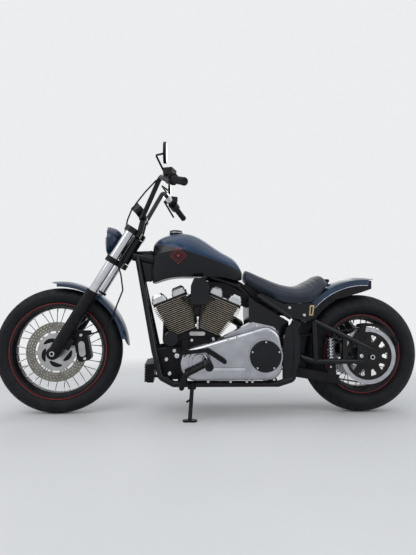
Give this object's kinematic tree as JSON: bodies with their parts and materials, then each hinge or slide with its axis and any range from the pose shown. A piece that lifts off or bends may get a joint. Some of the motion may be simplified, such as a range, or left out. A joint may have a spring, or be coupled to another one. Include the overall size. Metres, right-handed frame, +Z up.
{
  "type": "bobber motorcycle",
  "caption": "Low V-twin bobber with a teardrop tank, solo seat, tall bars, wire wheels and belt drive, leaning on its side stand; it steers, rolls and folds its stand.",
  "frame": {"origin": "bottom centre of the box round the leaning machine, on the floor", "axes": "+X to the rear, -Y to the machine's left, +Z up"},
  "size_m": [2.294, 0.863, 1.3741],
  "materials": {
    "tyre_rubber": "matt",
    "gloss_black": "gloss",
    "satin_black": "satin",
    "deep_blue": "gloss",
    "fin_black": "satin, machined edges",
    "chrome": "polished",
    "polished_cover": "polished",
    "bare_alloy": "brushed",
    "disc_steel": "brushed",
    "seat_leather": "satin",
    "black_rubber": "matt",
    "lamp_glass": "clear"
  },
  "bodies": {
    "frame": {"air_cleaner": "chrome", "belt_guards": "gloss_black", "brake_pedal": "satin_black", "cam_cover": "chrome", "crankcase": "gloss_black", "cylinders": "fin_black", "derby_cover": "gloss_black", "drive_belt": "black_rubber", "exhaust": "chrome", "foot_peg_left": "satin_black", "foot_peg_right": "satin_black", "frame_backbone": "gloss_black", "frame_cradle": "gloss_black", "frame_tail": "gloss_black", "front_mount": "satin_black", "fuel_cap": "chrome", "gearbox": "gloss_black", "guard_liner": "gloss_black", "horn_cover": "gloss_black", "oil_filter": "satin_black", "oil_tank": "gloss_black", "primary_cover": "polished_cover", "rear_axle": "bare_alloy", "rear_caliper": "satin_black", "rear_guard": "deep_blue", "regulator": "satin_black", "rocker_boxes": "chrome", "seat": "seat_leather", "shifter": "satin_black", "springs": "chrome", "swingarm": "gloss_black", "tank": "deep_blue"},
    "front_wheel": {"front_tyre": "tyre_rubber", "front_wheel_rim": "gloss_black", "front_brake_disc": "disc_steel"},
    "fork": {"front_axle": "bare_alloy", "fork_tubes": "chrome", "fork_sliders": "gloss_black", "lower_clamp": "satin_black", "upper_clamp": "satin_black", "headlamp_shell": "gloss_black", "headlamp_lens": "lamp_glass", "handlebar": "satin_black", "risers": "satin_black", "grips": "black_rubber", "clutch_control": "satin_black", "brake_control": "satin_black", "mirrors": "satin_black", "gauge": "satin_black", "front_guard": "deep_blue", "front_caliper": "satin_black", "control_cables": "black_rubber", "bar_clamps": "chrome"},
    "rear_wheel": {"rear_tyre": "tyre_rubber", "rear_wheel_rim": "gloss_black", "rear_brake_disc": "disc_steel", "rear_pulley": "satin_black"},
    "side_stand": {"side_stand": "satin_black"}
  },
  "joints": [
    {"name": "steering", "type": "hinge", "parent": "frame", "child": "fork", "pos_m": [-0.45767, 0.02412, 0.87129], "axis": [0.5075, -0.0751, 0.8584], "range_deg": [-32, 32]},
    {"name": "front_wheel_spin", "type": "hinge", "parent": "fork", "child": "front_wheel", "pos_m": [-0.816, 0.07147, 0.33004], "axis": [0, 0.9962, 0.0872], "continuous": true},
    {"name": "rear_wheel_spin", "type": "hinge", "parent": "frame", "child": "rear_wheel", "pos_m": [0.824, 0.07217, 0.32208], "axis": [0, 0.9962, 0.0872], "continuous": true},
    {"name": "stand_swing", "type": "hinge", "parent": "frame", "child": "side_stand", "pos_m": [-0.113, -0.09234, 0.16012], "axis": [0, -0.9962, -0.0872], "range_deg": [0, 80]}
  ]
}
